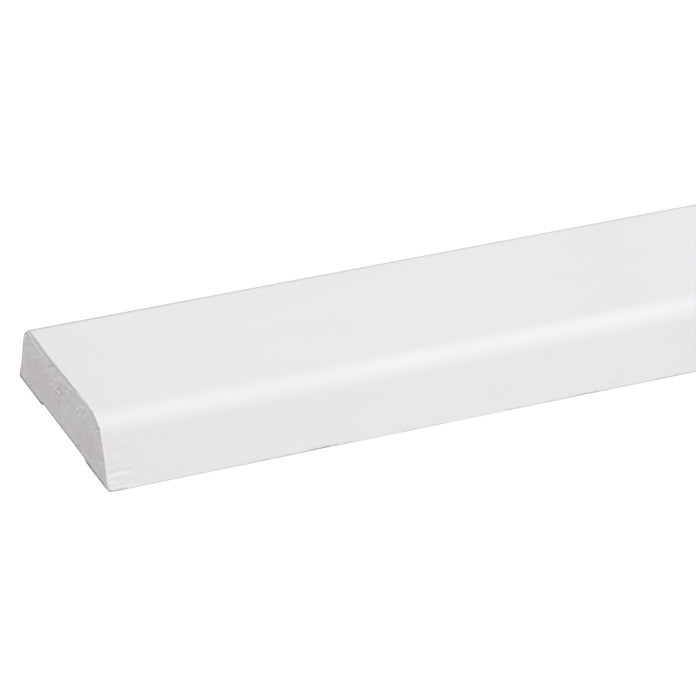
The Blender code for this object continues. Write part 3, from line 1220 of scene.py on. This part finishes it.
def face_paint():
    """Satin white paint over planed wood."""
    finish, tree = new_finish("satin_white_paint")
    clouds = stretched_noise(tree, (30, 12, 12))
    streaks = stretched_noise(tree, (60, 1.2, 1.2))
    peel = stretched_noise(tree, (1.1, 1.1, 1.1), detail=3.0)
    fine = stretched_noise(tree, (0.7, 0.4, 0.4), detail=3.0)
    colour = mixed(tree, between(tree, clouds, 0.0, 1.0), PAINT_WHITE, PAINT_CLOUD)
    colour = mixed(tree, between(tree, streaks, 0.0, 0.35), colour, PAINT_CLOUD)
    colour = mixed(tree, stored(tree, "warmth"), colour, NEAR_END_WHITE)
    colour = with_marks(tree, colour, fine)
    grain = bumps(tree, streaks, 0.25, 0.03 * MM)
    skin = bumps(tree, peel, 0.30, 0.02 * MM, below=grain)
    dress(tree, colour, between(tree, clouds, 0.50, 0.60), skin)
    return finish


print("face paint:", face_paint.__doc__)

# %% [markdown]
# ## Painted end grain
# End grain drinks paint, so the same white dries thinner, duller and greyer there, with a faint
# pink where the wood shines through. The grey is also partly painted shade: the end faces away from
# the lamp, and its rough fibres shade each other. The numbers on the mesh do the visible drawing,
# and noise adds what is finer than the mesh. Fibres run along the strip, so on the end they are
# dots: the noise is long along X and very small across it.

# %% End paint
# The end's grey is partly painted shade.
END_GREY = (0.623, 0.605, 0.610, 1.0)
END_PINK = (0.630, 0.562, 0.580, 1.0)


def end_paint():
    """White paint that has sunk into end grain, its grey partly painted shade."""
    finish, tree = new_finish("painted_end_grain")
    fibres = stretched_noise(tree, (10, 0.45, 0.38), detail=3.0)
    blotches = stretched_noise(tree, (10, 2.2, 1.6))
    colour = mixed(tree, stored(tree, "warmth"), END_GREY, END_PINK)
    colour = mixed(tree, between(tree, fibres, 0.05, -0.04), colour, DIRT_AND_SHADE)
    colour = mixed(tree, between(tree, blotches, 0.0, 0.06), colour, THICK_PAINT_AND_HIGHLIGHT)
    colour = with_marks(tree, colour, fibres)
    dress(tree, colour, between(tree, fibres, 0.62, 0.78), bumps(tree, fibres, 0.5, 0.05 * MM))
    return finish


print("end paint:", end_paint.__doc__)

# %% [markdown]
# ## The back
# Nobody sees the back once the strip is up, so it gets one thin coat. The wood shows through it
# as long warm streaks, and the knives of the planing machine have left faint ripples across it,
# about a centimetre apart.

# %% Back paint
THIN_WHITE = (0.70, 0.685, 0.66, 1.0)
SHOWING_WOOD = (0.60, 0.53, 0.43, 1.0)
RIPPLE_SCALE = 30.0


def back_paint():
    """One thin coat of white over planed softwood."""
    finish, tree = new_finish("thin_back_paint")
    streaks = stretched_noise(tree, (70, 1.6, 1.6), detail=4.0)
    patches = stretched_noise(tree, (20, 8, 8))
    colour = mixed(tree, between(tree, streaks, 0.0, 0.7), THIN_WHITE, SHOWING_WOOD)
    colour = mixed(tree, between(tree, patches, 0.0, 0.6), colour, THIN_WHITE)
    where = add_node(tree, "ShaderNodeTexCoord").outputs["Object"]
    knives = add_node(tree, "ShaderNodeTexWave", Vector=where, Scale=RIPPLE_SCALE, Distortion=0.3)
    ripple = bumps(tree, knives.outputs["Fac"], 0.4, 0.03 * MM)
    grain = bumps(tree, streaks, 0.5, 0.05 * MM, below=ripple)
    dress(tree, colour, between(tree, patches, 0.65, 0.80), grain)
    return finish


print("back paint:", back_paint.__doc__)

# %% [markdown]
# ## Set the strip in its place
# The mesh takes its three finishes in the order that its faces expect. The new strip stands for
# the plain solid, which stays hidden in the same place.

# %% The painted strip
for finish in (face_paint(), end_paint(), back_paint()):
    mesh.materials.append(finish)
strip = bpy.data.objects.new("painted_strip", mesh)
bpy.context.scene.collection.objects.link(strip)
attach(strip, "root")
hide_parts("cover_strip")
print("finishes:", [finish.name for finish in mesh.materials])

# %% [markdown]
# All relief goes inwards, so the finished strip has to fit inside the solid's box.
